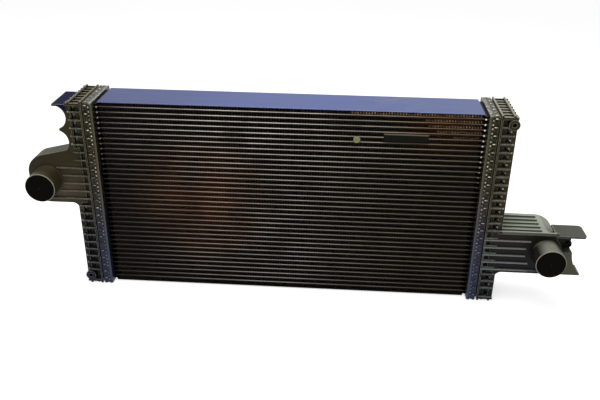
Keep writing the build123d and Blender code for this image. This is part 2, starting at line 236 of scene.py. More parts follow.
def grain(tree, vector, size_mm, detail=3.0, stretch=(1, 1, 1)):
    """Noise whose blobs are about the given size, stretched along chosen axes."""
    scaled = add(tree, "Mapping", inputs={"Vector": vector, "Scale": [1 / s for s in stretch]})
    inputs = {"Vector": scaled.outputs[0], "Scale": 1 / (size_mm * MM), "Detail": detail,
              "Roughness": NOISE_ROUGHNESS}
    return add(tree, "TexNoise", inputs=inputs).outputs["Fac"]


def bumped(tree, height, depth_mm, normal=None):
    """A bump normal from a height pattern with a real depth."""
    inputs = {"Height": height, "Distance": depth_mm * MM, "Strength": 1.0}
    if normal is not None:
        inputs["Normal"] = normal
    return add(tree, "Bump", inputs=inputs).outputs[0]


print("blobs of 5 mm need a noise scale of", round(1 / (5 * MM)))

# %% [markdown]
# ## Where a surface is
#
# Some finishes turn darker and bluer towards the bottom, which on the tubes is painted shade under
# light from above, and a stain keeps to one part of the core. A finish has to know where it is to
# show that. A painted map could tell it, but the coordinates themselves are simpler: they are
# compared with places on the ruler.

# %% Places on the ruler
BLOB_MIDDLE = 0.2


def place(tree):
    """Object coordinates: the vector itself, and its X, Y and Z sockets."""
    vector = add(tree, "TexCoord").outputs["Object"]
    return vector, add(tree, "SeparateXYZ", inputs={0: vector}).outputs


def ramp(tree, axes, axis, low, high, to_low=0.0, to_high=1.0):
    """Go from one value to another between two places on the ruler, along one axis."""
    start, stop = (core_zero[axis] + reach * MM for reach in (low, high))
    return spread(tree, axes[axis], start, stop, to_low, to_high)


def height_share(tree, axes, low, high):
    """0 below one height on the ruler and 1 above another, smooth between."""
    inputs = {"Value": axes[Z], "From Min": at(0, 0, low).z, "From Max": at(0, 0, high).z}
    return add(tree, "MapRange", {"interpolation_type": "SMOOTHSTEP"}, inputs).outputs[0]


def blob(tree, axes, centre, radius):
    """1 around a place on the core's face, in millimetres along and up, fading to 0 at a radius."""
    middle = at(centre[0], 0, centre[1])
    across = maths(tree, "SUBTRACT", axes[X], middle.x)
    upward = maths(tree, "SUBTRACT", axes[Z], middle.z)
    offset = add(tree, "CombineXYZ", inputs={0: across, 1: upward}).outputs[0]
    length = add(tree, "VectorMath", {"operation": "LENGTH"}, {0: offset}).outputs["Value"]
    return spread(tree, length, radius * MM, radius * MM * BLOB_MIDDLE)


print("the ruler's zero in metres:", [round(v, 4) for v in core_zero])

# %% [markdown]
# ## Aluminium tubes
#
# The tubes are extruded or welded strip, brazed in a furnace. Brazing leaves the metal a dull
# warm grey with pale flux marks along it. A metal's colour is its reflection, so the base colour
# carries the tint, the roughness is fairly high, and the noise is stretched sixtyfold along the
# tube like drawing marks. Painted light makes the tubes bright at the top and dark at the foot,
# and painted shade darkens the lower side of every tube. The core is also darker towards its left
# end and duller at the right, oily to the right and warm in two stained places. Each of these is
# one fade between two places, or one round spot.

# %% Brazed aluminium
TUBE_PITCH = tube_spans[1][0] - tube_spans[0][0]
# Painted shade on the lower side of every tube: lit above one height in a tube pitch, dark below
# another.
LIT_ABOVE = 2.85
DARK_BELOW = 2.1
# A spot is its centre and its radius. A fade is two places and the values at them.
WARM_SPOT = ((-178, 200), 160)
COMBED_SPOT = ((300, 400), 110)
# Painted light: the tubes bright at the top and in painted shade at the foot.
FOOT_SHADE_FADE = (0, 280, 0.33, 0.6)
TOP_LIGHT_FADE = (270, 370, 1.0, 1.65)
LEFT_FADE = (-375, -170, 0.0, 1.0)
LEFT_DIM_FADE = (-375, -170, 0.1, 1.0)
LEFT_HEIGHT_FADE = (150, 360, 0.2, 1.0)
MIDDLE_FADE = (20, 130, 1.0, 0.62)
RIGHT_FADE = (130, 375, 1.0, 0.55)
OIL_FADE = (20, 220, 0.0, 0.8)


def painted_lower_shade(tree, axes):
    """Painted shade: 1 on the lower side of every tube and 0 above it, from the height within one
    tube pitch.
    """
    from_first = maths(tree, "SUBTRACT", axes[Z], at(0, 0, tube_spans[0][0]).z)
    in_pitch = maths(tree, "FLOORED_MODULO", from_first, TUBE_PITCH * MM)
    return spread(tree, in_pitch, LIT_ABOVE * MM, DARK_BELOW * MM)


def brightness_share(tree, axes):
    """How bright the tubes are: painted light makes them bright at the top and dark low; they are
    also darker at the left and duller at the right.
    """
    height = times(tree, ramp(tree, axes, Z, *FOOT_SHADE_FADE), ramp(tree, axes, Z, *TOP_LIGHT_FADE))
    left_height = ramp(tree, axes, Z, *LEFT_HEIGHT_FADE)
    left = times(tree, ramp(tree, axes, X, *LEFT_DIM_FADE),
                 blend_value(tree, ramp(tree, axes, X, *LEFT_FADE), left_height, 1.0))
    right = times(tree, ramp(tree, axes, X, *MIDDLE_FADE), ramp(tree, axes, X, *RIGHT_FADE))
    return times(tree, height, left, right)


def brazed_aluminium():
    """Dull drawn aluminium with oil, flux patches and warm stains, bright at the top and dark low
    as painted light, with painted shade on its lower side.
    """
    material, tree = new_material("brazed_aluminium_strip")
    vector, axes = place(tree)
    streaks = grain(tree, vector, 1.5, stretch=(60, 1, 1))
    patches = spread(tree, grain(tree, vector, 70, detail=2), 0.42, 0.66, 0.0, 0.5)
    dim_colour = blend(tree, streaks, "#151415", "#242223")
    upper_colour = blend(tree, streaks, "#98918B", "#BDB5AE")
    upper_colour = blend(tree, ramp(tree, axes, X, *OIL_FADE), upper_colour, "#A3987E")
    # Painted light: bright at the top and in painted shade low; also darker at the left and duller
    # at the right.
    colour = layered(tree, dim_colour, [(brightness_share(tree, axes), upper_colour), (patches, "#3A322D")])
    for spot, strength, tint in ((WARM_SPOT, 0.5, "#D6AC8C"), (COMBED_SPOT, 0.7, "#CFA27A")):
        stain = times(tree, blob(tree, axes, *spot), strength)
        colour = blend(tree, stain, colour, tint, "MULTIPLY")
    # Painted shade on the lower side of every tube.
    colour = blend(tree, painted_lower_shade(tree, axes), colour, "#100D0B")
    return close_material(material, {
        "Base Color": colour, "Metallic": 1.0,
        "Roughness": spread(tree, streaks, 0.3, 0.7, 0.3, 0.5),
        "Normal": bumped(tree, streaks, 0.05)})


finish(tube_names, brazed_aluminium())
print("tubes finished:", len(tube_names), "pitch:", round(TUBE_PITCH, 2), "mm")

# %% [markdown]
# ## The foil's finish
#
# The fin strips are aluminium foil a tenth of a millimetre thick. Their cut front edges get a
# painted highlight, and behind the edges the foil is painted dark as painted shade of the deep
# gaps, with brown flux baked on in places. Every strip will be a copy with its own origin, so this
# finish reads the place in the scene instead of the object's own coordinates.

# %% Foil finish
LIT_EDGE_DEPTH = 7.0


def foil_metal():
    """Foil with a painted highlight on its front edges and painted shade behind them, brown where
    it is stained or combed.
    """
    material, tree = new_material("flux_stained_aluminium_foil")
    vector = add(tree, "NewGeometry").outputs["Position"]
    axes = add(tree, "SeparateXYZ", inputs={0: vector}).outputs
    stain = spread(tree, grain(tree, vector, 90, detail=3), 0.36, 0.56, 0.1, 1.0)
    warm = times(tree, stain, blob(tree, axes, *WARM_SPOT))
    # Painted highlight on the front edges, painted shade deeper in the gaps.
    edge = blend(tree, warm, "#50493F", "#A26A44")
    edge = blend(tree, blob(tree, axes, *COMBED_SPOT), edge, "#84593A")
    deep = blend(tree, warm, "#0C0804", "#28150A")
    colour = blend(tree, ramp(tree, axes, Y, 0, LIT_EDGE_DEPTH), edge, deep)
    return close_material(material, {"Base Color": colour, "Metallic": 0.6, "Roughness": 0.5})


fin_foil = foil_metal()
print("foil finish:", fin_foil.name)

# %% [markdown]
# ## The folds of one strip
#
# The foil is folded into a wave whose crests are brazed to the tubes above and below. A
# photograph of a real core shows the front edges of the folds as a row of fine dots, so the folds
# are modelled. The foil is drawn five times as thick as it is and its folds wider than real ones,
# because finer ones would fall between the samples of the picture.

# %% Folds
FOLD_PITCH = 5.4
FOIL = 0.5
CREST = 1.5
STRIP_HEIGHT = tube_spans[1][0] - tube_spans[0][1]


def fold_profile():
    """One strip's wave in length and height: flat crests joined by steep legs."""
    length = fin_high.x - fin_low.x
    folds = int(length // FOLD_PITCH)
    start = fin_low.x + (length - folds * FOLD_PITCH) / 2
    half = FOLD_PITCH / 2
    wave = []
    for i in range(folds):
        x = start + i * FOLD_PITCH
        wave += [(x + (half - CREST) / 2, 1), (x + (half + CREST) / 2, 1)]
        wave += [(x + half + (half - CREST) / 2, 0), (x + half + (half + CREST) / 2, 0)]
    return wave


def strip_mesh():
    """The mesh of one corrugated strip, with its lower skin at height zero."""
    wave = fold_profile()
    points = []
    for x, crest in wave:
        top = FOIL + crest * (STRIP_HEIGHT - FOIL)
        for y in (fin_low.y, fin_high.y):
            points += [Vector((x, y, top)) * MM, Vector((x, y, top - FOIL)) * MM]
    faces = []
    for i in range(len(wave) - 1):
        a = 4 * i
        b = a + 4
        faces += [(a, b, b + 2, a + 2), (a + 1, a + 3, b + 3, b + 1)]
        faces += [(a, a + 1, b + 1, b), (a + 2, b + 2, b + 3, a + 3)]
    last = 4 * (len(wave) - 1)
    faces += [(0, 2, 3, 1), (last, last + 1, last + 3, last + 2)]
    mesh = bpy.data.meshes.new("fin_strip")
    mesh.from_pydata(points, [], faces)
    mesh.update()
    mesh.materials.append(fin_foil)
    return mesh


fold_mesh = strip_mesh()
print("folds:", len(fold_profile()) // 4, "faces:", len(fold_mesh.polygons))

# %% [markdown]
# ## A strip in every gap
#
# The solid model has a plain block in every gap between two tubes. All gaps are alike, so the
# strips share one mesh, which saves memory and keeps them equal. Each strip stands on the tube
# below it and takes the place of the blocks.


# %% Fin strips
def place_strips(mesh):
    """One strip under each tube and one above the last."""
    bottoms = [fin_low.z] + [top for low, top in tube_spans]
    strips = []
    for index, z in enumerate(bottoms):
        strip = bpy.data.objects.new(f"fin_strip_{index + 1:02d}", mesh)
        bpy.context.scene.collection.objects.link(strip)
        strip.location = at(0, 0, z)
        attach(strip, "root")
        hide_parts("cooling_fins")
        strips.append(strip)
    return strips


print("fin strips:", len(place_strips(fold_mesh)))

# %% [markdown]
# ## Soft edges and highlit edges
#
# No real edge is sharp. Rounding every edge in the mesh would cost many faces, while a bevel node
# turns the normal softly over an edge and leaves the mesh alone. Where that soft normal differs
# from the flat one there is an edge, and where the space around is open it is an outer edge.
# Together they mark the outer edges, where a painted highlight goes.

# %% Edges
EDGE_SAMPLES = 6
EDGE_TURN = (0.99, 0.8)
SKY_REACH = 6
OUTER_SKY = (0.66, 0.9)


def open_sky(tree, reach_mm):
    """How free the space around a surface is of its own piece, within a reach."""
    settings = {"samples": EDGE_SAMPLES, "only_local": True}
    return add(tree, "AmbientOcclusion", settings, {"Distance": reach_mm * MM}).outputs["AO"]


def rounded_edges(tree, radius_mm):
    """A normal that turns softly over every edge, and a mask that is 1 on outer edges, where a
    painted highlight goes.
    """
    soft = add(tree, "Bevel", {"samples": EDGE_SAMPLES}, {"Radius": radius_mm * MM}).outputs[0]
    flat = add(tree, "NewGeometry").outputs["True Normal"]
    same = add(tree, "VectorMath", {"operation": "DOT_PRODUCT"}, {0: soft, 1: flat})
    turned = spread(tree, same.outputs["Value"], *EDGE_TURN)
    return soft, times(tree, turned, spread(tree, open_sky(tree, SKY_REACH), *OUTER_SKY))


print("edges are rounded with", EDGE_SAMPLES, "samples")

# %% [markdown]
# ## Rolled sheet over the top
#
# The side plates are rolled aluminium sheet. Rolling leaves long fine scratches and a satin
# sheen, and the sheet's blue cast is a painted reflection. Long soft reflections come from a
# moderate roughness with noise stretched along the rolling direction. The plate is darker at its
# left end and greyer at its right one, oil has left smears on it, its outer edges get a painted
# highlight, and its step and the lower plate are black with painted shade.

# %% Side plates
SHADE_FADE = (-100, -370)
GREY_FADE = (200, 370, 0.0, 0.6)
OIL_SPOT = ((205, core_top), 95)
# Painted shade: black on the upper plate's step and on the whole lower plate.
SHADED_STEP_FADE = (core_top - 2.5, core_top - 4)


def rolled_sheet():
    """Satin sheet with a blue cast that is a painted reflection, rolling marks and smears, a
    painted highlight on its edges and black painted shade on its step and the lower plate.
    """
    material, tree = new_material("rolled_aluminium_sheet")
    vector, axes = place(tree)
    marks = grain(tree, vector, 2.0, detail=4, stretch=(80, 1, 1))
    cloud = spread(tree, grain(tree, vector, 120, detail=2, stretch=(2, 1, 1)), 0.35, 0.7, 0.4, 1.0)
    smears = spread(tree, grain(tree, vector, 9, detail=3, stretch=(3, 1, 1)), 0.46, 0.8)
    soft, edge_highlight = rounded_edges(tree, 1.0)
    # Painted reflection: the blue cast of all these colours.
    colour = layered(tree, blend(tree, marks, "#3E4C84", "#485789"), [
        (times(tree, cloud, ramp(tree, axes, X, *SHADE_FADE)), "#2D3B70"),
        (ramp(tree, axes, X, *GREY_FADE), "#525F86"),
        (times(tree, smears, blob(tree, axes, *OIL_SPOT), 0.5), "#7C7F74"),
        # Painted highlight on the outer edges.
        (times(tree, edge_highlight, 0.8), "#9A9EB4"),
        # Painted shade: black below the top face.
        (ramp(tree, axes, Z, *SHADED_STEP_FADE), "#101014")])
    return close_material(material, {
        "Base Color": colour, "Metallic": 1.0,
        "Roughness": spread(tree, marks, 0.3, 0.7, 0.3, 0.45),
        "Normal": bumped(tree, marks, 0.03, soft)})


finish(["upper_side_plate", "lower_side_plate"], rolled_sheet())
print("side plates finished")

# %% [markdown]
# ## Pressed header plates
#
# The header plates are thicker sheet, pressed into trays and bent over the tanks. Pressing
# stretches and dulls the metal, so they are greyer and rougher than the side plates. They are pale
# at the top, dark blue-grey at the foot and darker in the crimped zone. What faces up near the rim
# is lighter in patches, partly rubbing and partly painted light, and the outer edges get a
# painted highlight.

# %% Header plates
CRIMP_REACH = (3.5, 5.0)
LIT_RUB_REACH = (9.0, 3.0, 0.25, 1.0)
FACING_UP = (0.35, 0.9)


def upper_side(tree, normal, low, high):
    """A mask that is 1 where a surface faces up, between two steepnesses of its normal."""
    parts = add(tree, "SeparateXYZ", inputs={0: normal})
    return spread(tree, parts.outputs[Z], low, high)


def from_rim(tree, axes, low, high, to_low=0.0, to_high=1.0):
    """Go from one value to another between two distances out from a header's inner rim."""
    outward = maths(tree, "ABSOLUTE", maths(tree, "SUBTRACT", axes[X], core_zero.x))
    start, stop = ((header_low.x + reach) * MM for reach in (low, high))
    return spread(tree, outward, start, stop, to_low, to_high)


def pressed_aluminium():
    """Dull pressed sheet, pale at the top, dark blue at its foot and darker in the crimped zone,
    with painted light on upward faces near the rim and a painted highlight on its edges.
    """
    material, tree = new_material("pressed_aluminium_sheet")
    vector, axes = place(tree)
    up = height_share(tree, axes, 20, 300)
    speckle = grain(tree, vector, 5, detail=4)
    soft, edge_highlight = rounded_edges(tree, 0.9)
    lower_colour = blend(tree, speckle, "#292D3E", "#494D62")
    upper_colour = blend(tree, speckle, "#2A2518", "#5A5646")
    crimp_darkening = times(tree, from_rim(tree, axes, *CRIMP_REACH),
                  spread(tree, speckle, 0.4, 0.62, 1.0, 0.55))
    # Painted light from above on upward faces near the rim, in patches, with some rubbing.
    rubbed_and_lit = times(tree, upper_side(tree, soft, *FACING_UP),
                   spread(tree, speckle, 0.4, 0.6, 0.05, 0.9),
                   from_rim(tree, axes, *LIT_RUB_REACH))
    colour = layered(tree, blend(tree, up, lower_colour, upper_colour), [
        (crimp_darkening, blend(tree, up, "#20222F", "#151207")),
        (rubbed_and_lit, blend(tree, up, "#50535F", "#A0A09A")),
        # Painted highlight on the outer edges.
        (times(tree, edge_highlight, 0.6), blend(tree, up, "#62647C", "#A8A48F"))])
    return close_material(material, {
        "Base Color": colour, "Metallic": 0.9,
        "Roughness": spread(tree, speckle, 0.3, 0.7, 0.35, 0.55),
        "Normal": bumped(tree, speckle, 0.12, soft)})


finish(["left_header_plate", "right_header_plate"], pressed_aluminium())
print("header plates finished")

# %% [markdown]
# ## Regions of the tanks
#
# Each tank is one moulding, but not all of it looks alike: the right duct's top is painted
# lighter as painted light from above, its front ribs get a painted highlight, and the bracket
# plates have their own shades. Cutting the mesh for this would leave seams. A region is written as
# a short list of limits along the axes instead, and its mask is their product.

# %% Regions
# A limit: an axis, the lowest and highest place on it (None is open), how soft the ends are.
REGIONS = {
    "stub": [(Y, None, -18, 3.0)],
    # Painted light from above on the right duct's top.
    "lit_duct_top": [(X, 436, 542, 3.0), (Z, 160, None, 1.5), (Z, None, 170, 3.0)],
    # Painted highlight on the right duct's rib fronts.
    "highlit_rib_fronts": [(Y, None, -12.3, 0.4), (X, 402, 494, 1.0), (Z, 62, 156, 1.0)],
    "web": [(X, 566, None, 3.0), (Z, None, 118, 3.0)],
    "left_plate": [(X, None, -435, 3.0), (Z, 390, None, 3.0)],
    "right_plate": [(X, 546, None, 4.0)],
    "right_plate_top": [(X, 546, None, 4.0), (Z, 150, None, 3.0)],
    "left_tank": [(X, None, -300, 3.0)],
}
FADED_SPOT = ((-465, 228), 75)


def within(tree, axes, axis, low, high, soft_mm):
    """1 between two places on an axis and 0 outside them, with soft ends."""
    ends = [(end, way) for end, way in ((low, -1), (high, 1)) if end is not None]
    return times(tree, *[ramp(tree, axes, axis, end + way * soft_mm, end) for end, way in ends])


def tank_regions(tree, axes):
    """A mask for every region and for the left duct's faded face, weak on its stub."""
    masks = {name: times(tree, *[within(tree, axes, *limit) for limit in limits])
             for name, limits in REGIONS.items()}
    off_stub = blend_value(tree, masks["stub"], 1.0, 0.15)
    masks["faded"] = times(tree, blob(tree, axes, *FADED_SPOT), off_stub)
    return masks


print("regions:", ", ".join(REGIONS))

# %% [markdown]
# ## The bare nylon
#
# The tanks are injection-moulded nylon with a third of its weight in glass fibre. Its colour is a
# dark grey, olive above and bluish below. Over that, six regions get colours of their own, most of
# them a pair mixed by the streaks that the plastic left as it flowed into the mould.

# %% Colours of the nylon
LOW_NYLON = ("#090A0D", "#1E1F26")
HIGH_NYLON = ("#100D02", "#463F24")


def moulded_colour(tree, masks, up, flow, fibre):
    """The colour of the bare nylon in each region, with painted light on the right duct's top and a
    painted highlight on its rib fronts.
    """
    bare = blend(tree, up, blend(tree, flow, *LOW_NYLON), blend(tree, flow, *HIGH_NYLON))
    return layered(tree, bare, [
        (times(tree, masks["faded"], 0.8), blend(tree, flow, "#423A2A", "#786C5A")),
        # Painted light on the duct's top and a painted highlight on its rib fronts.
        (masks["lit_duct_top"], blend(tree, flow, "#555A4C", "#6E7264")),
        (masks["highlit_rib_fronts"], blend(tree, fibre, "#5E6062", "#8E9090")),
        (masks["web"], blend(tree, flow, "#3E402F", "#6A6C56")),
        (masks["left_plate"], blend(tree, flow, "#0C0D24", "#181A38")),
        (masks["right_plate_top"], "#33362F")])


print("bare nylon:", LOW_NYLON, "low down and", HIGH_NYLON, "above")

# %% [markdown]
# ## Dust, top light and pocket shade
#
# Dust lies on what faces up, so the surface normal finds it, and the same mask paints those faces
# lighter as painted light from above, and on the stubs as a painted highlight. The pockets between
# the ribs get painted shade, and the space around a surface finds them. Both could be painted by
# hand, but these two rules put them in the right places on every rib.

# %% Dust, top light and pocket shade masks
STUB_FACING_UP = (0.6, 0.97)
POCKET_REACH = 14
POCKET_SKY = (0.8, 0.35)


def dust_and_top_light(tree, masks, high, flow, normal):
    """Painted light from above and a dusty film: on what faces up, thin on the left tank and the
    bracket plates.
    """
    plates = maths(tree, "MAXIMUM", masks["left_plate"], times(tree, masks["right_plate"], 0.85))
    upward = blend_value(tree, masks["stub"], upper_side(tree, normal, *FACING_UP),
                         upper_side(tree, normal, *STUB_FACING_UP))
    left_share = blend_value(tree, masks["left_tank"], 1.0, blend_value(tree, high, 0.06, 0.25))
    return times(tree, upward, spread(tree, flow, 0.25, 0.6, 0.6, 1.0),
                 blend_value(tree, plates, 1.0, 0.0), left_share,
                 blend_value(tree, masks["stub"], 1.0, 0.9))


def pocket_shade(tree, masks):
    """Painted shade: 1 deep in a pocket and 0 in the open, weak on the lit duct top and the faded
    face.
    """
    sheltered = spread(tree, open_sky(tree, POCKET_REACH), *POCKET_SKY)
    shade_eased = [blend_value(tree, masks[name], 1.0, 0.35) for name in ("lit_duct_top", "faded")]
    return times(tree, sheltered, 0.85, *shade_eased)


print("pockets are felt within", POCKET_REACH, "mm")

# %% [markdown]
# ## Moulded nylon tanks
#
# The glass fibres lie just under the skin and give it a fine uneven gloss. Moulded edges are
# never sharp, so each rib catches a line of light, which is a painted highlight on its edge. The
# colours are laid over each other in turn: the bare nylon, the dust with painted light from above,
# the painted edge highlight and the painted shade of the pockets.


# %% Tanks
def glass_filled_nylon():
    """Dark nylon, dusty and painted lighter on top, with a painted highlight on its edges and black
    painted shade in its pockets.
    """
    material, tree = new_material("glass_filled_nylon")
    vector, axes = place(tree)
    up = height_share(tree, axes, 60, 260)
    high = height_share(tree, axes, 330, 400)
    flow = grain(tree, vector, 25, detail=3, stretch=(3, 1, 1))
    fibre = grain(tree, vector, 2.0, detail=5)
    masks = tank_regions(tree, axes)
    soft, edge_highlight = rounded_edges(tree, 1.6)
    # Dust colour that also stands for painted light from above.
    top_lit_dust = blend(tree, masks["lit_duct_top"], blend(tree, up, "#8B8D7C", "#908E80"), "#A8AC9E")
    # Painted highlight colour for the outer edges, paler high up.
    edge_shine = blend(tree, high, blend(tree, up, "#D2D4DC", "#DCD8BE"), "#E6E2BC")
    colour = layered(tree, moulded_colour(tree, masks, up, flow, fibre), [
        # Dust with painted light from above, then the painted edge highlight and the painted shade
        # of the pockets.
        (dust_and_top_light(tree, masks, high, flow, soft), top_lit_dust),
        (times(tree, edge_highlight, spread(tree, fibre, 0.35, 0.6, 0.35, 1.0)), edge_shine),
        # Painted shade: the pockets nearly black.
        (pocket_shade(tree, masks), "#070603")])
    gloss = spread(tree, fibre, 0.3, 0.7, 0.28, 0.5)
    return close_material(material, {
        "Base Color": colour, "Metallic": 0.0, "IOR": 1.53, "Specular IOR Level": 0.1,
        "Roughness": blend_value(tree, masks["left_plate"], gloss, 0.85),
        "Normal": bumped(tree, fibre, 0.08, soft)})


nylon = glass_filled_nylon()
finish(["left_tank", "right_tank"], nylon)
print("tanks finished")

# %% [markdown]
# ## Small parts
#
# The transport caps are soft black polyethylene with a waxy, nearly smooth skin, and a small
# paler gate mark in the middle where the plastic was injected. The screw has a black oxide
# finish, which is still a metal but a very dark one. The seals are matt synthetic rubber. Most
# small parts need no more than two near colours, so one function makes such a finish.

# %% Caps, screw and seals
MATT = {"Specular IOR Level": 0.04}
GATE_RADIUS = 2.4


def plain_finish(name, first, second, size_mm, bump_mm, **values):
    """A mottled finish with two near colours and a fine bump."""
    material, tree = new_material(name)
    mottle = grain(tree, place(tree)[0], size_mm)
    inputs = {"Base Color": blend(tree, mottle, first, second),
              "Normal": bumped(tree, mottle, bump_mm)}
    return close_material(material, {**inputs, **values})


def cap_finish():
    """Soft black plastic with a paler gate mark in the middle of each cap."""
    material, tree = new_material("soft_black_polyethylene")
    vector, axes = place(tree)
    mottle = grain(tree, vector, 6)
    colour = blend(tree, mottle, "#040302", "#080705")
    for side_name, way in SIDES:
        low, high = measure(side_name + "_port_cap")
        gate = blob(tree, axes, ((low.x + high.x) / 2, (low.z + high.z) / 2), GATE_RADIUS)
        colour = blend(tree, gate, colour, "#2A2723")
    inputs = {"Base Color": colour, "Roughness": 0.7, "Normal": bumped(tree, mottle, 0.05)}
    return close_material(material, {**inputs, **MATT})


oxide_steel = plain_finish("black_oxide_steel", "#0C0C0C", "#1C1C1E", 1.2, 0.02,
                           Metallic=1.0, Roughness=0.35)
seal_rubber = plain_finish("synthetic_rubber", "#0B0B0B", "#141414", 1.5, 0.05, Roughness=0.8)
finish(["left_port_cap", "right_port_cap"], cap_finish())
finish(["bracket_screw"], oxide_steel)
finish(["left_gasket", "right_gasket"], seal_rubber)
print("small parts finished")

# %% [markdown]
# ## Rounded trim
#
# Some details are too small for the solid model: crimp beads and tab lips, feet, the buttons on
# the ribs, the fillets of braze and the combed folds of the foil. All of them are small rounded
# lumps, so one function makes any number of ellipsoids in one mesh, and each kind of trim is a
# list of places on the ruler.

# %% Ellipsoids in one mesh
LUMP_RINGS = 4
LUMP_SIDES = 8


def lumps(name, centres, half, material):
    """One mesh with a smooth ellipsoid at every centre, of the given half sizes in millimetres."""
    points, faces = [], []
    for x, y, z in centres:
        first = len(points)
        for ring in range(LUMP_RINGS + 1):
            lift = math.pi * ring / LUMP_RINGS - math.pi / 2
            for side in range(LUMP_SIDES):
                turn = 2 * math.pi * side / LUMP_SIDES
                points.append((x + half[0] * math.cos(lift) * math.cos(turn),
                               y + half[1] * math.cos(lift) * math.sin(turn),
                               z + half[2] * math.sin(lift)))
        for ring in range(LUMP_RINGS):
            for side in range(LUMP_SIDES):
                a = first + ring * LUMP_SIDES + side
                b = first + ring * LUMP_SIDES + (side + 1) % LUMP_SIDES
                faces.append((a, b, b + LUMP_SIDES, a + LUMP_SIDES))
    return make_piece(name, points, faces, material, smooth=True)


print("points in one lump:", (LUMP_RINGS + 1) * LUMP_SIDES)

# %% [markdown]
# ## Worn and highlit high spots
#
# What stands proud is rubbed bare and carries a painted highlight: the crimped metal turns bright,
# and the nylon's buttons turn pale and smooth. Both are dark low on the part and pale high on it,
# and patchy in between, so they share one function.


# %% Worn and highlit finishes
def bare_glint_spots(name, low_colour, high_colour, metallic, roughness):
    """A patchy bare finish that carries a painted highlight, with one colour low on the part and
    another high on it.
    """
    material, tree = new_material(name)
    vector, axes = place(tree)
    mottle = spread(tree, grain(tree, vector, 12, detail=3), 0.38, 0.64, 0.12, 1.0)
    # Painted highlight: the pale colour of the proud spots.
    rubbed_and_lit = blend(tree, height_share(tree, axes, 40, 330), low_colour, high_colour)
    colour = blend(tree, mottle, "#1A1812", rubbed_and_lit)
    inputs = {"Base Color": colour, "Metallic": metallic, "Roughness": roughness}
    return close_material(material, inputs)


glinting_bare_metal = bare_glint_spots("bare_glinting_aluminium", "#7A7C94", "#D2CCB0", 0.9, 0.38)
glinting_bare_nylon = bare_glint_spots("bare_glinting_nylon", "#9A9C9E", "#D8D2B6", 0.0, 0.3)
print("worn finishes:", glinting_bare_metal.name, glinting_bare_nylon.name)

# %% [markdown]
# ## Crimp beads and tab lips
#
# The crimping tool bends the header plate's tabs over the tank's foot one after another. It
# leaves a bead at and between the tabs, and each tab ends in a rolled lip. Pressing each one into
# the plate's mesh would be slow, and at this size a lump for each looks the same. Both rows follow
# the tabs' pitch, at the front and the rear, and the lips go on over the top.

# %% Beads and lips
BEAD_PITCH = 8.5
TAB_PITCH = 17.0
TAB_HEIGHT = 8.0
TAB_STAND = 0.9
BEAD_FROM_RIM = 7.0
BEAD_HALF = (1.6, 1.1, 1.9)
LIP_FROM_RIM = 13.0
LIP_HALF = (3.4, 1.1, 1.2)

bead_front = header_low.y + TAB_STAND
bead_rear = header_high.y - BEAD_HALF[1]
tab_count = int((core_top - TAB_HEIGHT) // TAB_PITCH) + 1
tab_first = (core_top - (tab_count - 1) * TAB_PITCH) / 2
bead_heights = [tab_first + i * BEAD_PITCH for i in range(2 * tab_count - 1)]
lip_heights = [tab_first + i * TAB_PITCH + TAB_HEIGHT / 2 for i in range(tab_count)]
bead_count = int((bead_rear - bead_front) // BEAD_PITCH)
top_depths = [bead_front + (i + 0.5) * BEAD_PITCH for i in range(0, bead_count, 2)]

# The beads and lips carry a painted highlight in their pale colour.
for side_name, way in SIDES:
    bead_x = way * (header_low.x + BEAD_FROM_RIM)
    lip_x = way * (header_low.x + LIP_FROM_RIM)
    beads = [(bead_x, y, z) for z in bead_heights for y in (bead_front, bead_rear)]
    lumps(side_name + "_crimp_beads", beads, BEAD_HALF, glinting_bare_metal)
    lips = [(lip_x, y, z) for z in lip_heights for y in (header_low.y, header_high.y - LIP_HALF[1])]
    lips += [(lip_x, y, header_high.z) for y in top_depths]
    lumps(side_name + "_tab_lips", lips, LIP_HALF, glinting_bare_metal)
print("beads a side:", len(beads), "lips a side:", len(lips))

# %% [markdown]
# ## Feet
#
# Three small bumps stand out under each side: two under the header plate and one under the tank.
# They show only as an outline against the floor, so one lump does for each, and each takes the
# colour of the piece it belongs to.

# %% Feet of the header plates and tanks
FOOT_HALF = (4.2, 3.6, 3.2)
FOOT_FROM_RIM = (4.0, 15.0)
FOOT_Z = 0.4
TANK_FOOT_X = 412.0
TANK_FOOT_Y = -8.0
foot_y = header_low.y + FOOT_HALF[1]
foot_metal = plain_finish("grimy_pressed_aluminium", "#14151E", "#2E3040", 4, 0.05,
                          Metallic=0.6, Roughness=0.5)

for side_name, way in SIDES:
    feet = [(way * (header_low.x + reach), foot_y, FOOT_Z) for reach in FOOT_FROM_RIM]
    tank_foot = [(way * TANK_FOOT_X, TANK_FOOT_Y, FOOT_Z)]
    lumps(side_name + "_header_feet", feet, FOOT_HALF, foot_metal)
    lumps(side_name + "_tank_foot", tank_foot, FOOT_HALF, nylon)
print("feet a side:", len(feet) + 1)

# %% [markdown]
# ## Rib buttons
#
# Where a rib meets the tank's front edge, the mould leaves a small round button, and the button's
# pale colour is a painted highlight. The right tank has a second row between the ribs. The buttons
# could be part of the tank's mesh, but set on it they leave that mesh alone. The ribs stop where a
# duct joins the tank, so the buttons keep clear of it.

# %% Buttons
RIB_PITCH = 17.0
LEFT_RIB_START = 30.5
RIGHT_RIB_START = 27.5
LAST_RIB = 401.0
LEFT_DUCT_SPAN = (185, 312)
RIGHT_DUCT_SPAN = (62, 168)
BUTTON_X = 429.5
BUTTON_Y = -9.5
INNER_BUTTON_X = 423.5
INNER_BUTTON_Y = -8.0
BUTTON_HALF = (2.0, 1.7, 1.9)


def rib_heights(start, duct_span, offset=0.0):
    """Heights of the ribs, or of places between them, that are clear of the duct."""
    count = int((LAST_RIB - start) // RIB_PITCH) + 1
    heights = [start + i * RIB_PITCH + offset for i in range(count)]
    return [z for z in heights if not duct_span[0] < z < duct_span[1] and z < LAST_RIB]


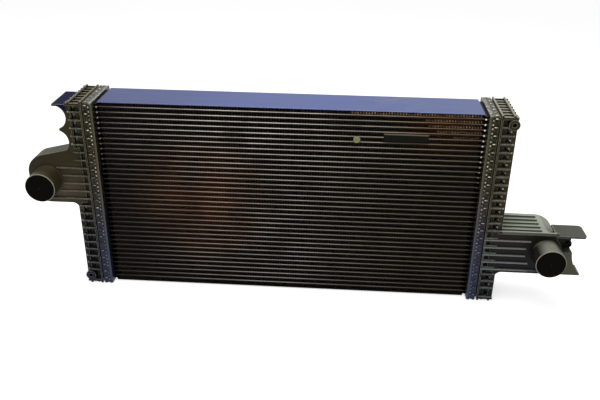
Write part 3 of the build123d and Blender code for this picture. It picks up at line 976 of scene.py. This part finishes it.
left_buttons = [(-BUTTON_X, BUTTON_Y, z) for z in rib_heights(LEFT_RIB_START, LEFT_DUCT_SPAN)]
right_buttons = [(BUTTON_X, BUTTON_Y, z) for z in rib_heights(RIGHT_RIB_START, RIGHT_DUCT_SPAN)]
between = rib_heights(RIGHT_RIB_START, RIGHT_DUCT_SPAN, RIB_PITCH / 2)
right_buttons += [(INNER_BUTTON_X, INNER_BUTTON_Y, z) for z in between]
# The buttons' pale colour is a painted highlight.
lumps("left_rib_buttons", left_buttons, BUTTON_HALF, glinting_bare_nylon)
lumps("right_rib_buttons", right_buttons, BUTTON_HALF, glinting_bare_nylon)
print("rib buttons:", len(left_buttons), "left,", len(right_buttons), "right")

# %% [markdown]
# ## Braze fillets
#
# Where a tube enters its header plate, molten filler creeps into the corner and sets as a small
# bright fillet. A row of lumps does for them, because only their highlights show. They are duller
# at the left and dark low on the core with painted shade.

# %% Fillets
FILLET_X = 376.0
FILLET_Y = 1.0
FILLET_HALF = (3.2, 2.0, 2.0)
DULL_FADE = (-200, 200)


def braze_metal():
    """Bright filler metal, duller at the left and dark low on the core with painted shade."""
    material, tree = new_material("braze_filler")
    axes = place(tree)[1]
    bare = blend(tree, ramp(tree, axes, X, *DULL_FADE), "#8C8478", "#E2D8C8")
    # Painted shade: the filler dark low on the core.
    filler = blend(tree, height_share(tree, axes, 230, 400), "#1C1A18", bare)
    return close_material(material, {"Base Color": filler, "Metallic": 1.0, "Roughness": 0.4})


tube_middles = [(low + high) / 2 for low, high in tube_spans]
fillets = [(way * FILLET_X, FILLET_Y, z) for z in tube_middles for way in (-1, 1)]
lumps("braze_fillets", fillets, FILLET_HALF, braze_metal())
print("braze fillets:", len(fillets))

# %% [markdown]
# ## Combed folds
#
# Near the top right the folds have been combed over in service, which leaves a row of short bare
# ticks in the upper gaps. Bending the strips there would need a mesh for each gap, and only the
# bare edges show, so each fold gets one upright lump at the strips' own pitch. The rows start at
# different places and get weaker.

# %% Ticks
COMB_END = 372.0
# From the top gap down: where a row starts and the half height of its ticks.
COMBED_ROWS = [(120, 2.1), (262, 2.2), (268, 2.0), (285, 1.7), (318, 1.2)]
TICK_HALF_X = 0.8
TICK_HALF_Y = 0.6
TICK_Y = 0.2
TICK_WAVER = 0.5


def combed_folds():
    """One mesh of ticks for each combed row."""
    bottoms = [top for low, top in tube_spans][::-1]
    bare_foil = bare_glint_spots("combed_foil_edges", "#A8744A", "#E4B080", 0.4, 0.5)
    meshes = []
    for row, (first_x, half_height) in enumerate(COMBED_ROWS):
        middle = bottoms[row] + STRIP_HEIGHT / 2
        ticks = [(first_x + (i + 0.5) * FOLD_PITCH, TICK_Y, middle + TICK_WAVER * math.sin(5 * i))
                 for i in range(int((COMB_END - first_x) // FOLD_PITCH))]
        half = (TICK_HALF_X, TICK_HALF_Y, half_height)
        meshes.append(lumps(f"combed_folds_{row + 1}", ticks, half, bare_foil))
    return meshes


print("combed rows:", len(combed_folds()))

# %% [markdown]
# ## A bare plate and a marker disc
#
# Two small things are fixed to the front of the core: a sheet plate hung on a tube by its folded
# upper lip, and a round marker pressed between two tubes. Both are left bare. The plate is two
# boxes and the disc is turned from a short profile, which is all that shows at their size.

# %% Plate and disc
PLATE_X = (185.4, 271.5)
PLATE_Y = (-1.6, -0.3)
PLATE_Z = (346.0, 359.0)
PLATE_LIP_Y = (-1.6, 4.0)
PLATE_LIP_Z = (359.0, 361.2)
DISC_CENTRE = (133.5, 346.9)
# Radius and depth of each step, from the disc's back edge to the bottom of its dished middle.
DISC_PROFILE = [(6.8, 1.0), (6.8, -1.2), (6.0, -1.9), (4.2, -1.9), (3.4, -0.4)]
DISC_SIDES = 32


def block(name, xs, ys, zs, material):
    """A box between two corners."""
    points = [(x, y, z) for x in xs for y in ys for z in zs]
    faces = [(0, 1, 3, 2), (4, 6, 7, 5), (0, 4, 5, 1), (2, 3, 7, 6), (0, 2, 6, 4), (1, 5, 7, 3)]
    return make_piece(name, points, faces, material)


def disc(name, centre, profile, sides, material):
    """A turned disc that faces the front, closed in the middle."""
    points, faces = [], []
    for radius, y in profile:
        for side in range(sides):
            turn = 2 * math.pi * side / sides
            points.append((centre[0] + radius * math.cos(turn), y,
                           centre[1] + radius * math.sin(turn)))
    for ring in range(len(profile) - 1):
        for side in range(sides):
            a = ring * sides + side
            b = ring * sides + (side + 1) % sides
            faces.append((a, b, b + sides, a + sides))
    last = (len(profile) - 1) * sides
    faces.append([last + side for side in range(sides)])
    return make_piece(name, points, faces, material)


plate_sheet = plain_finish("painted_steel_sheet", "#10120C", "#1B1D16", 8, 0.03,
                           Roughness=0.5, **MATT)
lip_sheet = plain_finish("worn_sheet_lip", "#554E3C", "#6A634E", 4, 0.03, Roughness=0.5)
disc_plastic = plain_finish("yellowed_polypropylene", "#7E7C4C", "#A09E70", 3, 0.05, Roughness=0.5)
block("bare_plate", PLATE_X, PLATE_Y, PLATE_Z, plate_sheet)
block("plate_lip", PLATE_X, PLATE_LIP_Y, PLATE_LIP_Z, lip_sheet)
disc("marker_disc", DISC_CENTRE, DISC_PROFILE, DISC_SIDES, disc_plastic)
print("plate", PLATE_X, PLATE_Z, "disc", DISC_CENTRE)

# %% [markdown]
# ## The mouths of the ports
#
# A moulded stub ends in a thin bead that keeps the hose clamp on, and the bead's pale colour is a
# painted highlight all round the black cap. It is a ring with a round section, and half of it
# stands out of the stub's end. A torus operator would make it too, but two nested turns show how
# it comes about.

# %% Port beads
PORT_BEAD_RADIUS = 29.1
PORT_BEAD_SECTION = 0.8
FLANGE_THICKNESS = 2.5
RING_STEPS = 64
SECTION_STEPS = 8


def ring(name, centre, radius, section, material, slot):
    """A ring that faces the front, with a round section."""
    points, faces = [], []
    for step in range(RING_STEPS):
        turn = 2 * math.pi * step / RING_STEPS
        for part in range(SECTION_STEPS):
            roll = 2 * math.pi * part / SECTION_STEPS
            reach = radius + section * math.cos(roll)
            points.append((centre.x + reach * math.cos(turn), centre.y + section * math.sin(roll),
                           centre.z + reach * math.sin(turn)))
            a = step * SECTION_STEPS + part
            b = step * SECTION_STEPS + (part + 1) % SECTION_STEPS
            c = (step + 1) % RING_STEPS * SECTION_STEPS
            faces.append((a, b, c + (part + 1) % SECTION_STEPS, c + part))
    return make_piece(name, points, faces, material, smooth=True)


# The bead is polished, and its pale colour is a painted highlight.
highlit_bead_nylon = plain_finish("polished_highlit_nylon_bead", "#8B8878", "#B0AD98", 3, 0.03, Roughness=0.3)
for side_name, way in SIDES:
    cap_low, cap_high = measure(side_name + "_port_cap")
    mouth = (cap_low + cap_high) / 2
    mouth.y = cap_low.y + FLANGE_THICKNESS
    ring(side_name + "_port_bead", mouth, PORT_BEAD_RADIUS, PORT_BEAD_SECTION, highlit_bead_nylon,
         "tank_plastic")
print("port bead at", [round(v, 1) for v in mouth])

# %% [markdown]
# ## The camera
#
# The camera stands in front of the core and a little above it, with a normal lens, as a person
# holding it would. Its place and its three turns came from matching the straight edges of the
# core, so they are given as they were solved.

# %% Camera
CAMERA_PLACE = (106.26, -1298.62, 855.61)
CAMERA_PITCH = 0.4598
CAMERA_ROLL = 0.0117
CAMERA_YAW = -0.0627
LENS_MM = 42.9
SENSOR_MM = 36.0

turns = Matrix.Rotation(CAMERA_ROLL, 3, "Y") @ Matrix.Rotation(CAMERA_PITCH, 3, "X")
turns = turns @ Matrix.Rotation(CAMERA_YAW, 3, "Z")
sight = Matrix((turns[0], turns[2], -turns[1])).transposed()
camera_data = bpy.data.cameras.new("front_camera")
camera_data.lens = LENS_MM
camera_data.sensor_width = SENSOR_MM
camera = bpy.data.objects.new("front_camera", camera_data)
bpy.context.scene.collection.objects.link(camera)
camera.matrix_world = Matrix.Translation(at(*CAMERA_PLACE)) @ sight.to_4x4()
bpy.context.scene.camera = camera
bpy.context.scene.view_settings.view_transform = "Standard"
print("camera at", [round(v, 3) for v in camera.matrix_world.translation])

# %% [markdown]
# ## The light
#
# The light is soft, as in a room with a pale ceiling: a white dome, one panel above the front
# left and a stronger one above the back. A dome that white would flatten the part, so it is white
# only to the camera and in reflections, and lights the surfaces with about a third of that
# strength.

# %% Lights
DOME_LIGHT = 0.35
DOME_SEEN = 1.0


def soft_panel(name, place_mm, target_mm, size, watts):
    """A square light panel with its side in metres, aimed at a point."""
    data = bpy.data.lights.new(name, "AREA")
    data.energy = watts
    data.size = size
    panel = bpy.data.objects.new(name, data)
    bpy.context.scene.collection.objects.link(panel)
    panel.location = at(*place_mm)
    aim = at(*target_mm) - panel.location
    panel.rotation_mode = "QUATERNION"
    panel.rotation_quaternion = aim.to_track_quat("-Z", "Y")
    return panel


def seen_directly(tree):
    """1 for what the camera sees, also in a reflection or through glass."""
    path = add(tree, "LightPath").outputs
    mirrored = maths(tree, "MAXIMUM", path["Is Camera Ray"], path["Is Glossy Ray"])
    return maths(tree, "MAXIMUM", mirrored, path["Is Transmission Ray"])


soft_panel("key_panel", place_mm=(-300, -900, 1500), target_mm=(0, 0, 250), size=1.2, watts=7)
soft_panel("top_panel", place_mm=(150, 350, 1500), target_mm=(0, 45, 250), size=1.4, watts=16)
world = bpy.data.worlds.new("studio")
bpy.context.scene.world = world
world.use_nodes = True
dome = world.node_tree
dome.nodes.clear()
strength = blend_value(dome, seen_directly(dome), DOME_LIGHT, DOME_SEEN)
background = add(dome, "Background", inputs={"Color": [1, 1, 1, 1], "Strength": strength})
add(dome, "OutputWorld", inputs={"Surface": background.outputs[0]})

# %% [markdown]
# ## The floor
#
# The radiator stands on a pale floor that is far wider than the picture. It answers nearly white
# to the camera, so that it runs into the background, while it still keeps the soft shadow under
# the part.

# %% Floor
# Half of the floor's side, in metres.
FLOOR_HALF = 20.0
FLOOR_GREY = 0.8
FLOOR_GLOW = 0.68


def pale_floor():
    """A wide pale floor that glows for the camera and keeps the shadow."""
    corners = [(x * FLOOR_HALF, y * FLOOR_HALF, 0) for x, y in ((-1, -1), (1, -1), (1, 1), (-1, 1))]
    mesh = bpy.data.meshes.new("floor")
    mesh.from_pydata(corners, [], [(0, 1, 2, 3)])
    floor = bpy.data.objects.new("floor", mesh)
    bpy.context.scene.collection.objects.link(floor)
    material, tree = new_material("pale_floor")
    diffuse = add(tree, "BsdfDiffuse", inputs={"Color": [FLOOR_GREY] * 3 + [1]})
    shine = times(tree, seen_directly(tree), FLOOR_GLOW)
    glow = add(tree, "Emission", inputs={"Color": [1, 1, 1, 1], "Strength": shine})
    both = add(tree, "AddShader", inputs={0: diffuse.outputs[0], 1: glow.outputs[0]})
    add(tree, "OutputMaterial", inputs={"Surface": both.outputs[0]})
    mesh.materials.append(material)
    return floor


print("floor laid:", pale_floor().name)
